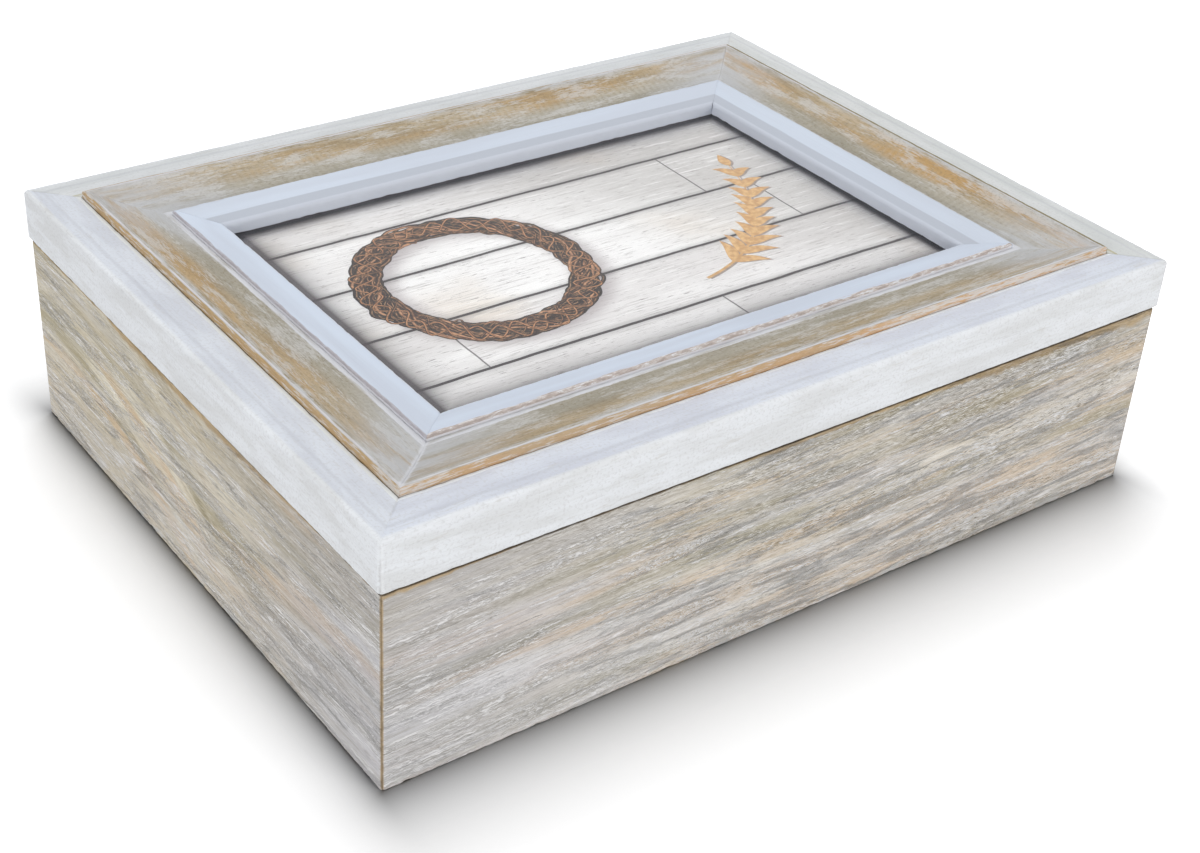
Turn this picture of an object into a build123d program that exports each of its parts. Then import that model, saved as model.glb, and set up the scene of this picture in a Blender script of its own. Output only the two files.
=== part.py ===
from build123d import *
import os

# Photo storage box: a mitred wooden box with a hinged lid, and the lid is a picture frame.
# All lengths are in millimetres.  +Z is up and +X runs along the long side.  The hinges are at the
# back, on the +Y side.  The origin is the centre of the box on the surface it stands on.

# ---------------------------------------------------------------- driving dimensions

# Picture, and the window that shows it
PRINT_LENGTH = 150.0
PRINT_WIDTH = 100.0
WINDOW_OVERLAP = 4.0          # how far the window's edge covers the print
RABBET_REACH = 5.0            # how far the window's lip overlaps the glass

# What lies in the rabbet, from the front to the back
GLASS_THICKNESS = 2.0
CARD_THICKNESS = 0.4
FILLER_THICKNESS = 1.2
BACKING_THICKNESS = 3.0
PANE_CLEARANCE = 0.4          # round the glass, the filler and the backing board

# Lid: rail, cove moulding and slip, seen in section.  Insets are measured from the lid's outer face
RAIL_HEIGHT = 12.0
RAIL_TOP_WIDTH = 10.0         # flat top, as far as the cove moulding
LEDGE_HEIGHT = 5.0            # step on which the cove moulding sits
RAIL_CORNER_RADIUS = 1.0
RAIL_ARRIS_RADIUS = 0.9
COVE_WIDTH = 15.2
COVE_RISE = 1.6               # crest above the rail's top
COVE_CREST_WIDTH = 1.6
COVE_FALL = 3.2               # crest down to the slip
COVE_HOLLOW = 0.5             # depth of the concave face below its chord
CREST_RADIUS = 0.45
SLIP_WIDTH = 8.8              # visible face, from the cove to the window's edge
SLIP_FOOT_WIDTH = 7.0         # part beside the rabbet that stands on the lid's underside
SLIP_RISE = 1.2               # slip's outer bead above the cove's inner edge
BEAD_RADIUS = 0.5
LIP_THICKNESS = 3.2           # window lip over the glass
LIP_RADIUS = 1.0

# Box
BOARD_THICKNESS = 10.0
BODY_HEIGHT = 47.5
LID_OVERHANG = 0.6            # lid beyond the boards, on every side
PARTING_GAP = 0.5             # between the closed lid and the boards
BOARD_CORNER_RADIUS = 0.8
BOARD_ARRIS_RADIUS = 0.5
PANEL_THICKNESS = 3.0
PANEL_RAISE = 4.0             # panel's underside above the table
GROOVE_DEPTH = 4.0
PANEL_GAP = 0.3               # room for the panel to swell in the groove

# Hinges
HINGE_SPREAD = 120.0          # between the two hinges' middles
HINGE_LENGTH = 20.0
LEAF_REACH = 7.5              # from the pin's axis to the leaf's far edge
LEAF_THICKNESS = 0.8
BARREL_RADIUS = 1.6
PIN_RADIUS = 0.8
PIN_CLEARANCE = 0.05
PIN_HEAD_RADIUS = 1.25
PIN_HEAD_THICKNESS = 0.5
MIDDLE_KNUCKLE = 8.0
KNUCKLE_GAP = 0.3
PIN_INSIDE = 0.2              # pin's axis inside the lid's back face
STOP_REACH = 2.2              # stop tail behind the pin's axis
BARREL_CLEARANCE = 0.3        # between the barrel and the wood round it
MORTISE_CLEARANCE = 0.1

# Hinge screws, countersunk
HINGE_SCREW_SPACING = 12.0
HINGE_SCREW_EDGE = 2.8        # screw's axis to the leaf's far edge
HINGE_SCREW_HEAD_RADIUS = 1.6
HINGE_SCREW_RADIUS = 0.8
HINGE_SCREW_LENGTH = 7.0

# Turn buttons that hold the backing board, and their round-headed screws
BUTTON_LENGTH = 15.0
BUTTON_WIDTH = 8.0
BUTTON_THICKNESS = 1.2
BUTTON_PLAY = 0.1             # above and below the button
PIVOT_INSET = 2.4             # screw's axis to the rabbet
PIVOT_CLEARANCE = 0.05
PIVOT_SCREW_RADIUS = 1.0
PIVOT_SCREW_DEPTH = 7.0
PIVOT_HEAD_RADIUS = 2.2
PIVOT_HEAD_HEIGHT = 1.3
PIVOT_HEAD_ROUND = 0.6

# Corner nails of the lid, V-shaped in plan, driven in from below
NAIL_INSET = 8.0
NAIL_LEG = 4.5
NAIL_THICKNESS = 0.5
NAIL_HEIGHT = 7.0

# Details shared by the screws
SEAT_GAP = 0.02               # between a screw and the hole that it fills
SLOT_WIDTH = 0.4
SLOT_DEPTH = 0.35
POINT_LENGTH = 1.6

# Cutting tools run past what they cut by this much
MARGIN = 1.0

# ---------------------------------------------------------------- worked out

COVE_INSET = RAIL_TOP_WIDTH + COVE_WIDTH
FRAME_WIDTH = COVE_INSET + SLIP_WIDTH
LID_LENGTH = PRINT_LENGTH - 2 * WINDOW_OVERLAP + 2 * FRAME_WIDTH
LID_DEPTH = PRINT_WIDTH - 2 * WINDOW_OVERLAP + 2 * FRAME_WIDTH
BOX_LENGTH = LID_LENGTH - 2 * LID_OVERHANG
BOX_DEPTH = LID_DEPTH - 2 * LID_OVERHANG
LID_BOTTOM = BODY_HEIGHT + PARTING_GAP
RABBET_INSET = FRAME_WIDTH - RABBET_REACH
RAIL_WIDTH = RABBET_INSET - SLIP_FOOT_WIDTH
RABBET_DEPTH = GLASS_THICKNESS + CARD_THICKNESS + FILLER_THICKNESS + BACKING_THICKNESS
CREST_HEIGHT = RAIL_HEIGHT + COVE_RISE
COVE_LOW = CREST_HEIGHT - COVE_FALL
HINGE_AXIS_Y = LID_DEPTH / 2 - PIN_INSIDE
HINGE_AXIS_Z = BODY_HEIGHT + PARTING_GAP / 2
HINGES = {"left": -HINGE_SPREAD / 2, "right": HINGE_SPREAD / 2}

# The way in which each side's outer face looks, in plan
SIDES = {"front": (0, -1), "back": (0, 1), "left": (-1, 0), "right": (1, 0)}


# ---------------------------------------------------------------- helpers

def block(x_size, y_size, bottom, top):
    """Box centred on the Z axis, between two heights."""
    return Pos(0, 0, bottom) * Box(x_size, y_size, top - bottom, align=(Align.CENTER, Align.CENTER, Align.MIN))


def reaches(side):
    """Centre to the lid's outer face on one side, and half that side's length."""
    if side in ("front", "back"):
        return LID_DEPTH / 2, LID_LENGTH / 2
    return LID_LENGTH / 2, LID_DEPTH / 2


def side_plan(side, z):
    """Horizontal plane at the middle of a side's outer face, with its x axis pointing inwards."""
    out_x, out_y = SIDES[side]
    reach, half_length = reaches(side)
    return Plane(origin=(out_x * reach, out_y * reach, z), x_dir=(-out_x, -out_y, 0), z_dir=(0, 0, 1))


def side_section(side, z):
    """Upright plane across a side, with x pointing inwards from the outer face and y pointing up."""
    out_x, out_y = SIDES[side]
    reach, half_length = reaches(side)
    return Plane(origin=(out_x * reach, out_y * reach, z), x_dir=(-out_x, -out_y, 0), z_dir=(-out_y, out_x, 0))


def between_mitres(side):
    """Prism that holds one side of the frame, up to the 45-degree mitre planes at its two ends."""
    reach, half_length = reaches(side)
    outer = -MARGIN
    inner = FRAME_WIDTH + MARGIN
    corners = [
        (outer, half_length - outer),
        (outer, outer - half_length),
        (inner, inner - half_length),
        (inner, half_length - inner),
    ]
    plan = side_plan(side, -MARGIN) * make_face(Polyline(*corners, close=True))
    return extrude(plan, amount=LID_BOTTOM + CREST_HEIGHT + 2 * MARGIN, dir=(0, 0, 1))


def moulding(side, outline):
    """One mitred length of a moulding, from its closed outline in inset and height."""
    reach, half_length = reaches(side)
    bar = extrude(side_section(side, LID_BOTTOM) * make_face(outline), amount=half_length + MARGIN, both=True)
    return bar & between_mitres(side)


def countersunk_screw(gap=0.0):
    """Screw with its flat head up at Z = 0.  With a gap it is the hole for that screw."""
    head = Pos(0, 0, -LEAF_THICKNESS / 2) * Cone(
        HINGE_SCREW_RADIUS + gap, HINGE_SCREW_HEAD_RADIUS + gap, LEAF_THICKNESS
    )
    shank_length = HINGE_SCREW_LENGTH - LEAF_THICKNESS - POINT_LENGTH
    shank = Pos(0, 0, -LEAF_THICKNESS - shank_length / 2) * Cylinder(HINGE_SCREW_RADIUS + gap, shank_length)
    point = Pos(0, 0, -HINGE_SCREW_LENGTH + POINT_LENGTH / 2) * Cone(
        SEAT_GAP + gap, HINGE_SCREW_RADIUS + gap, POINT_LENGTH
    )
    screw = head + shank + point
    if gap == 0.0:
        screw -= Box(2 * HINGE_SCREW_HEAD_RADIUS + MARGIN, SLOT_WIDTH, 2 * SLOT_DEPTH)
    return screw


def round_head_screw(gap=0.0):
    """Screw with the underside of its round head at Z = 0 and the head up.  With a gap it is the hole."""
    body_length = PIVOT_SCREW_DEPTH + BUTTON_THICKNESS + 2 * BUTTON_PLAY
    shank_length = body_length - POINT_LENGTH
    shank = Pos(0, 0, -shank_length / 2) * Cylinder(PIVOT_SCREW_RADIUS + gap, shank_length)
    point = Pos(0, 0, -body_length + POINT_LENGTH / 2) * Cone(
        SEAT_GAP + gap, PIVOT_SCREW_RADIUS + gap, POINT_LENGTH
    )
    screw = shank + point
    if gap == 0.0:
        head = Pos(0, 0, PIVOT_HEAD_HEIGHT / 2) * Cylinder(PIVOT_HEAD_RADIUS, PIVOT_HEAD_HEIGHT)
        head = fillet(head.edges().sort_by(Axis.Z)[-1], PIVOT_HEAD_ROUND)
        slot = Pos(0, 0, PIVOT_HEAD_HEIGHT) * Box(2 * PIVOT_HEAD_RADIUS + MARGIN, SLOT_WIDTH, 2 * SLOT_DEPTH)
        screw += head - slot
    return screw


# ---------------------------------------------------------------- hinges

def across(x_from, x_to, y_from, y_to, z_from, z_to):
    """Box between two corners."""
    centre = Pos((x_from + x_to) / 2, (y_from + y_to) / 2, (z_from + z_to) / 2)
    return centre * Box(x_to - x_from, y_to - y_from, z_to - z_from)


def barrel(radius, x_from, x_to):
    """Cylinder round the hinge's axis, which is the X axis here."""
    return Pos((x_from + x_to) / 2, 0, 0) * Rot(0, 90, 0) * Cylinder(radius, x_to - x_from)


def hinge_screw_places():
    """Screw positions on a leaf, seen from the hinge's axis."""
    y = HINGE_SCREW_EDGE - LEAF_REACH
    return [(-HINGE_SCREW_SPACING / 2, y), (HINGE_SCREW_SPACING / 2, y)]


def hinge_screws(gap=0.0):
    """The two screws of a lower leaf, heads up, about the hinge's axis."""
    return [Pos(x, y, -PARTING_GAP / 2) * countersunk_screw(gap) for x, y in hinge_screw_places()]


def box_leaf():
    """Lower leaf: two outer knuckles, each with a tail that stops the open lid."""
    top = -PARTING_GAP / 2
    bottom = top - LEAF_THICKNESS
    end = HINGE_LENGTH / 2
    inner = MIDDLE_KNUCKLE / 2 + KNUCKLE_GAP / 2
    leaf = across(-end, end, -LEAF_REACH, -BARREL_RADIUS - KNUCKLE_GAP, bottom, top)
    for x_from, x_to in ((-end, -inner), (inner, end)):
        leaf += across(x_from, x_to, -BARREL_RADIUS - KNUCKLE_GAP, 0, bottom, top)
        leaf += barrel(BARREL_RADIUS, x_from, x_to)
        leaf += across(x_from, x_to, 0, STOP_REACH, -BARREL_RADIUS, LEAF_THICKNESS - BARREL_RADIUS)
    leaf -= barrel(PIN_RADIUS + PIN_CLEARANCE, -end - MARGIN, end + MARGIN)
    for hole in hinge_screws(SEAT_GAP):
        leaf -= hole
    return leaf


def lid_leaf():
    """Upper leaf: one middle knuckle, made about the hinge's axis."""
    bottom = PARTING_GAP / 2
    top = bottom + LEAF_THICKNESS
    end = HINGE_LENGTH / 2
    inner = MIDDLE_KNUCKLE / 2 - KNUCKLE_GAP / 2
    leaf = across(-end, end, -LEAF_REACH, -BARREL_RADIUS - KNUCKLE_GAP, bottom, top)
    leaf += across(-inner, inner, -BARREL_RADIUS - KNUCKLE_GAP, 0, bottom, top)
    leaf += barrel(BARREL_RADIUS, -inner, inner)
    leaf -= barrel(PIN_RADIUS + PIN_CLEARANCE, -end - MARGIN, end + MARGIN)
    for hole in hinge_screws(SEAT_GAP):
        leaf -= upside_down(hole)
    return leaf


def upside_down(solid):
    """The same solid turned over about the Y axis, so that what faced up faces down."""
    return Rot(0, 180, 0) * solid


def hinge_pin():
    """Pin with a small head at each end of the barrel."""
    end = HINGE_LENGTH / 2
    pin = barrel(PIN_RADIUS, -end, end)
    pin += barrel(PIN_HEAD_RADIUS, -end - PIN_HEAD_THICKNESS, -end)
    pin += barrel(PIN_HEAD_RADIUS, end, end + PIN_HEAD_THICKNESS)
    return pin


def barrel_notch():
    """Room round the barrel and its pin heads, in the wood."""
    half = HINGE_LENGTH / 2 + PIN_HEAD_THICKNESS + BARREL_CLEARANCE
    return barrel(BARREL_RADIUS + BARREL_CLEARANCE, -half, half)


def leaf_mortise(bottom, top):
    """Shallow pocket that lets a leaf in flush."""
    half = HINGE_LENGTH / 2 + MORTISE_CLEARANCE
    return across(-half, half, -LEAF_REACH - MORTISE_CLEARANCE, 0, bottom, top)


def at_hinge(x, solid):
    return Pos(x, HINGE_AXIS_Y, HINGE_AXIS_Z) * solid


# ---------------------------------------------------------------- box

def board_ring():
    """The four boards as one ring: eased outside, grooved inside for the bottom panel."""
    ring = block(BOX_LENGTH, BOX_DEPTH, 0, BODY_HEIGHT)
    ring = fillet(ring.edges().filter_by(Axis.Z), BOARD_CORNER_RADIUS)
    ring = fillet(ring.faces().sort_by(Axis.Z)[-1].edges(), BOARD_ARRIS_RADIUS)
    ring = fillet(ring.faces().sort_by(Axis.Z)[0].edges(), BOARD_ARRIS_RADIUS)
    inside_x = BOX_LENGTH - 2 * BOARD_THICKNESS
    inside_y = BOX_DEPTH - 2 * BOARD_THICKNESS
    ring -= block(inside_x, inside_y, -MARGIN, BODY_HEIGHT + MARGIN)
    ring -= block(
        inside_x + 2 * GROOVE_DEPTH, inside_y + 2 * GROOVE_DEPTH, PANEL_RAISE, PANEL_RAISE + PANEL_THICKNESS
    )
    return ring


def board(side, ring):
    """One board of the box.  The back board is cut for the hinges."""
    piece = ring & between_mitres(side)
    if side == "back":
        for x in HINGES.values():
            piece -= at_hinge(x, barrel_notch())
            piece -= at_hinge(x, leaf_mortise(-PARTING_GAP / 2 - LEAF_THICKNESS, MARGIN))
            for hole in hinge_screws(SEAT_GAP):
                piece -= at_hinge(x, hole)
    return piece


def bottom_panel():
    """Thin panel held in the boards' grooves."""
    spare = 2 * (GROOVE_DEPTH - PANEL_GAP - BOARD_THICKNESS)
    return block(BOX_LENGTH + spare, BOX_DEPTH + spare, PANEL_RAISE, PANEL_RAISE + PANEL_THICKNESS)


# ---------------------------------------------------------------- lid

def rail_ring():
    """The four lid rails as one ring, with a ledge inside for the cove moulding."""
    ring = block(LID_LENGTH, LID_DEPTH, LID_BOTTOM, LID_BOTTOM + RAIL_HEIGHT)
    ring = fillet(ring.edges().filter_by(Axis.Z), RAIL_CORNER_RADIUS)
    ring = fillet(ring.faces().sort_by(Axis.Z)[-1].edges(), RAIL_ARRIS_RADIUS)
    ring -= block(
        LID_LENGTH - 2 * RAIL_TOP_WIDTH,
        LID_DEPTH - 2 * RAIL_TOP_WIDTH,
        LID_BOTTOM + LEDGE_HEIGHT,
        LID_BOTTOM + RAIL_HEIGHT + MARGIN,
    )
    ring -= block(
        LID_LENGTH - 2 * RAIL_WIDTH,
        LID_DEPTH - 2 * RAIL_WIDTH,
        LID_BOTTOM - MARGIN,
        LID_BOTTOM + RAIL_HEIGHT + MARGIN,
    )
    return ring


def mitre_nail(x_sign, y_sign):
    """V-shaped nail across the mitre of one corner, its point towards the window."""
    tip_x = LID_LENGTH / 2 - NAIL_INSET
    tip_y = LID_DEPTH / 2 - NAIL_INSET
    outline = [
        (tip_x, tip_y),
        (tip_x + NAIL_LEG, tip_y),
        (tip_x + NAIL_LEG, tip_y + NAIL_THICKNESS),
        (tip_x + NAIL_THICKNESS, tip_y + NAIL_THICKNESS),
        (tip_x + NAIL_THICKNESS, tip_y + NAIL_LEG),
        (tip_x, tip_y + NAIL_LEG),
    ]
    corners = [(x_sign * x, y_sign * y) for x, y in outline]
    plan = Pos(0, 0, LID_BOTTOM) * make_face(Polyline(*corners, close=True))
    return extrude(plan, amount=NAIL_HEIGHT, dir=(0, 0, 1))


def rail(side, ring, nails):
    """One outer rail of the lid.  The back rail is cut for the hinges."""
    piece = ring & between_mitres(side)
    for nail in nails:
        piece -= nail
    if side == "back":
        for x in HINGES.values():
            piece -= at_hinge(x, barrel_notch())
            piece -= at_hinge(x, leaf_mortise(-MARGIN, PARTING_GAP / 2 + LEAF_THICKNESS))
            for hole in hinge_screws(SEAT_GAP):
                piece -= at_hinge(x, upside_down(hole))
    return piece


def cove(side):
    """Moulding on the rail's ledge: a narrow crest, then a shallow hollow down to the slip."""
    crest_inner = RAIL_TOP_WIDTH + COVE_CREST_WIDTH
    middle_x = (crest_inner + COVE_INSET) / 2
    middle_z = (CREST_HEIGHT + COVE_LOW) / 2 - COVE_HOLLOW
    crest_corner = (RAIL_TOP_WIDTH, CREST_HEIGHT - CREST_RADIUS)
    nose = (RAIL_TOP_WIDTH + CREST_RADIUS, CREST_HEIGHT)
    outline = [
        Line((RAIL_TOP_WIDTH, LEDGE_HEIGHT), crest_corner),
        RadiusArc(crest_corner, nose, CREST_RADIUS),
        Line(nose, (crest_inner, CREST_HEIGHT)),
        ThreePointArc((crest_inner, CREST_HEIGHT), (middle_x, middle_z), (COVE_INSET, COVE_LOW)),
        Line((COVE_INSET, COVE_LOW), (COVE_INSET, LEDGE_HEIGHT)),
        Line((COVE_INSET, LEDGE_HEIGHT), (RAIL_TOP_WIDTH, LEDGE_HEIGHT)),
    ]
    return moulding(side, outline)


def slip(side):
    """Inner moulding: a bead beside the cove, a slope to the window, and the rabbet below."""
    bead_top = COVE_LOW + SLIP_RISE
    lip_top = RABBET_DEPTH + LIP_THICKNESS
    bead_start = (COVE_INSET, bead_top - BEAD_RADIUS)
    bead_end = (COVE_INSET + BEAD_RADIUS, bead_top)
    lip_start = (FRAME_WIDTH - LIP_RADIUS, lip_top)
    lip_end = (FRAME_WIDTH, lip_top - LIP_RADIUS)
    outline = [
        Polyline(
            lip_end,
            (FRAME_WIDTH, RABBET_DEPTH),
            (RABBET_INSET, RABBET_DEPTH),
            (RABBET_INSET, 0),
            (RAIL_WIDTH, 0),
            (RAIL_WIDTH, LEDGE_HEIGHT),
            (COVE_INSET, LEDGE_HEIGHT),
            bead_start,
        ),
        RadiusArc(bead_start, bead_end, BEAD_RADIUS),
        Line(bead_end, lip_start),
        RadiusArc(lip_start, lip_end, LIP_RADIUS),
    ]
    return moulding(side, outline)


def rabbet_layer(x_size, y_size, above, thickness):
    """Flat sheet in the rabbet, with what lies above it between it and the window's lip."""
    top = LID_BOTTOM + RABBET_DEPTH - above
    return block(x_size, y_size, top - thickness, top)


def rabbet_layers():
    """Glass, picture card, filler card and backing board, from the window down."""
    full_x = LID_LENGTH - 2 * (RABBET_INSET + PANE_CLEARANCE)
    full_y = LID_DEPTH - 2 * (RABBET_INSET + PANE_CLEARANCE)
    below_glass = GLASS_THICKNESS
    below_card = below_glass + CARD_THICKNESS
    below_filler = below_card + FILLER_THICKNESS
    return {
        "glass_pane": rabbet_layer(full_x, full_y, 0, GLASS_THICKNESS),
        "insert_card": rabbet_layer(PRINT_LENGTH, PRINT_WIDTH, below_glass, CARD_THICKNESS),
        "filler_card": rabbet_layer(full_x, full_y, below_card, FILLER_THICKNESS),
        "backing_board": rabbet_layer(full_x, full_y, below_filler, BACKING_THICKNESS),
    }


# ---------------------------------------------------------------- turn buttons

def pivot_place(side, z):
    """Location of a turn button's screw on one side, with its x axis pointing at the window."""
    return side_plan(side, z).location * Pos(RABBET_INSET - PIVOT_INSET, 0, 0)


def turn_button(side):
    """Flat round-ended button that turns on its screw, below the lid's underside."""
    arm = Pos((BUTTON_LENGTH - BUTTON_WIDTH) / 2, 0, 0) * SlotOverall(BUTTON_LENGTH, BUTTON_WIDTH)
    arm -= Circle(PIVOT_SCREW_RADIUS + PIVOT_CLEARANCE)
    bottom = LID_BOTTOM - BUTTON_PLAY - BUTTON_THICKNESS
    return extrude(pivot_place(side, bottom) * arm, amount=BUTTON_THICKNESS, dir=(0, 0, 1))


def pivot_screw(side, gap=0.0):
    """The round-headed screw under one turn button, or the hole for it."""
    z = LID_BOTTOM - BUTTON_THICKNESS - 2 * BUTTON_PLAY
    return pivot_place(side, z) * upside_down(round_head_screw(gap))


# ---------------------------------------------------------------- nodes

def build_nodes():
    """Every node by its name: one solid, or a group of like fasteners."""
    nodes = {}

    boards = board_ring()
    for side in SIDES:
        nodes[f"{side}_board"] = board(side, boards)
    nodes["bottom_panel"] = bottom_panel()

    nails = [mitre_nail(x_sign, y_sign) for x_sign in (-1, 1) for y_sign in (-1, 1)]
    rails = rail_ring()
    for side in SIDES:
        nodes[f"{side}_rail"] = rail(side, rails, nails)
        nodes[f"{side}_cove"] = cove(side)
        nodes[f"{side}_slip"] = slip(side) - pivot_screw(side, SEAT_GAP)
    nodes["mitre_nails"] = Compound(children=nails)
    nodes.update(rabbet_layers())

    box_screws = []
    lid_screws = []
    for name, x in HINGES.items():
        nodes[f"hinge_leaf_box_{name}"] = at_hinge(x, box_leaf())
        nodes[f"hinge_leaf_lid_{name}"] = at_hinge(x, lid_leaf())
        nodes[f"hinge_pin_{name}"] = at_hinge(x, hinge_pin())
        box_screws += [at_hinge(x, screw) for screw in hinge_screws()]
        lid_screws += [at_hinge(x, upside_down(screw)) for screw in hinge_screws()]
    nodes["box_hinge_screws"] = Compound(children=box_screws)
    nodes["lid_hinge_screws"] = Compound(children=lid_screws)

    for side in SIDES:
        nodes[f"turn_button_{side}"] = turn_button(side)
    nodes["turn_button_screws"] = Compound(children=[pivot_screw(side) for side in SIDES])
    return nodes


os.makedirs("parts", exist_ok=True)
for name, shape in build_nodes().items():
    export_step(shape, f"parts/{name}.step")
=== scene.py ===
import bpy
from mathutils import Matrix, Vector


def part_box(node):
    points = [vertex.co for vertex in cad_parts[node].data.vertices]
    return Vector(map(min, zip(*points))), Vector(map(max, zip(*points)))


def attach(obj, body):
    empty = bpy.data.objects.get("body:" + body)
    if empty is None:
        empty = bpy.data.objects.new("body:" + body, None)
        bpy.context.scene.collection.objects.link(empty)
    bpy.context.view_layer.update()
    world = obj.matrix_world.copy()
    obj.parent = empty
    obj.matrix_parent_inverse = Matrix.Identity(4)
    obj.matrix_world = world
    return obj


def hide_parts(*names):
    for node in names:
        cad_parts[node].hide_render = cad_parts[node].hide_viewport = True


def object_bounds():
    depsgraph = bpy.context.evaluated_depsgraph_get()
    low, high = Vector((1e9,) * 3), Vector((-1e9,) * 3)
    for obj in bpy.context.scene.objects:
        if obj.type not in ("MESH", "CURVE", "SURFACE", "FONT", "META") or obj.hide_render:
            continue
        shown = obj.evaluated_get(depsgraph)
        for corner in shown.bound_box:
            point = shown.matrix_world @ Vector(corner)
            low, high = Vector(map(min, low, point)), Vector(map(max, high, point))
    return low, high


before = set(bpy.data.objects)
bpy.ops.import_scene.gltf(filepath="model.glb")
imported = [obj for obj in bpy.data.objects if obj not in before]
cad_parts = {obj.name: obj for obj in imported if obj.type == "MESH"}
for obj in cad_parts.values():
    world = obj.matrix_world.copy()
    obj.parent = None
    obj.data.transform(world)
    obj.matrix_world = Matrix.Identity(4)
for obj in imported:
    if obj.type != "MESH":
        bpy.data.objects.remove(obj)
import inspect
import math

import bpy
import numpy as np
from mathutils import Matrix, Vector

cad_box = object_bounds()
scene = bpy.context.scene
scene.view_settings.view_transform = "Standard"

# ---------------- camera
# The viewer stands at the near left corner, a little over two box lengths away, and looks down
# on the lid.  The camera is rolled slightly, as one held by hand is.
AZIMUTH, ELEVATION, ROLL = math.radians(-37.99), math.radians(32.67), math.radians(3.85)
CAMERA_DISTANCE = 0.46095
CAMERA_SLIDE = (0.00366, -0.02927)
AIM_HEIGHT = 0.040
LENS = 58.8


def in_scene(name, data):
    """Object with its data, in the scene."""
    made = bpy.data.objects.new(name, data)
    scene.collection.objects.link(made)
    return made


away = Vector((
    math.sin(AZIMUTH) * math.cos(ELEVATION),
    -math.cos(AZIMUTH) * math.cos(ELEVATION),
    math.sin(ELEVATION),
))
level = Vector((0, 0, 1)).cross(away).normalized()
upright = away.cross(level)
camera = in_scene("camera", bpy.data.cameras.new("camera"))
camera.data.lens = LENS
camera.data.sensor_width = 36.0
camera.data.clip_start = 0.01
axes = Matrix((
    math.cos(ROLL) * level + math.sin(ROLL) * upright,
    math.cos(ROLL) * upright - math.sin(ROLL) * level,
    away,
)).transposed()
stand = Vector((0, 0, AIM_HEIGHT)) + CAMERA_DISTANCE * away
stand += CAMERA_SLIDE[0] * level + CAMERA_SLIDE[1] * upright
camera.matrix_world = Matrix.Translation(stand) @ axes.to_4x4()
scene.camera = camera

# ---------------- box boards
# Four softwood boards, mitred at the corners, brushed along the grain, stained grey-beige and
# washed over with thin white paint that has rubbed off the arrises.  A groove holds the bottom.
TURNS = {"front": 0.0, "right": 90.0, "back": 180.0, "left": -90.0}
BOARD_THICKNESS = 0.010
BOARD_CORNER_RADIUS = 0.0008
BOARD_ARRIS = 0.0005
INNER_ARRIS = 0.0003
GROOVE_DEPTH = 0.004
STATION_STEP = 0.0008
ARC_POINTS = 6
SHARP_ANGLE = math.radians(32.0)
RIPPLE_PITCH = 0.0019
RIPPLE_DEPTH = 0.00005
LEAF_THICKNESS = 0.0008
MORTISE_CLEARANCE = 0.0001
NOTCH_CLEARANCE = 0.0003
NOTCH_RADIUS = 0.0019
NOTCH_SIDES = 32
BOARD_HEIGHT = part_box("front_board")[1].z
LID_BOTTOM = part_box("front_rail")[0].z
GRAIN_SLOPE = -0.025
GRAIN_BEND = 0.006
FLAME_PLACE = 2.92
FLAME_REACH = 0.08
FLAME_CURVATURE = 4.0
FLAME_HEIGHT = 0.024
FLAME_BORDER = 0.004
YELLOWED = (0.955, 0.89, 0.7, 1.0)
MATH_NODES = {"VECTOR": "ShaderNodeVectorMath", "INT": "FunctionNodeIntegerMath"}


class Value:
    """What a node puts out.  A sum or product of values is a further node of the same tree."""

    def __init__(self, socket):
        self.socket = socket

    def __abs__(self):
        return calc("ABSOLUTE", self)


for sign, operation in (("add", "ADD"), ("sub", "SUBTRACT"), ("mul", "MULTIPLY"), ("truediv", "DIVIDE")):
    setattr(Value, f"__{sign}__", lambda one, other, kind=operation: calc(kind, one, other))
    setattr(Value, f"__r{sign}__", lambda one, other, kind=operation: calc(kind, other, one))


def fill(node, inputs):
    """A node's inputs, each joined to a value or set."""
    for key, value in inputs.items():
        if isinstance(value, Value):
            node.id_data.links.new(value.socket, node.inputs[key])
        else:
            node.inputs[key].default_value = value


def put(kind, inputs, output=0, tree=None, **settings):
    """Output or outputs of a new node, in the tree of its inputs unless none of them is a value."""
    if tree is None:
        tree = next(value.socket.id_data for value in inputs.values() if isinstance(value, Value))
    node = tree.nodes.new(kind)
    for name, value in settings.items():
        setattr(node, name, value)
    fill(node, inputs)
    if isinstance(output, tuple):
        return [Value(node.outputs[key]) for key in output]
    return Value(node.outputs[output])


def calc(operation, *values):
    """Result of the math node that suits the first value that is no plain number."""
    first = next(value for value in values if isinstance(value, Value))
    kind = MATH_NODES.get(first.socket.type, "ShaderNodeMath")
    return put(kind, dict(enumerate(values)), operation=operation)


def fade(value, low, high, at_low, at_high):
    """Smooth step of a value, from at_low to at_high."""
    limits = dict(enumerate((value, low, high, at_low, at_high)))
    return put("ShaderNodeMapRange", limits, interpolation_type="SMOOTHSTEP")


def rise(value, low, high, amount=1.0):
    return fade(value, low, high, 0.0, amount)


def fall(value, low, high, amount=1.0):
    return fade(value, low, high, amount, 0.0)


def vector(x, y=0.0, z=0.0):
    return put("ShaderNodeCombineXYZ", {0: x, 1: y, 2: z})


def parts(place):
    """A vector's X, Y and Z."""
    return put("ShaderNodeSeparateXYZ", {0: place}, (0, 1, 2))


def noise(place, scale, detail, roughness=0.5, distortion=0.0):
    return put("ShaderNodeTexNoise", {
        "Vector": place, "Scale": scale, "Detail": detail, "Roughness": roughness, "Distortion": distortion,
    })


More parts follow.
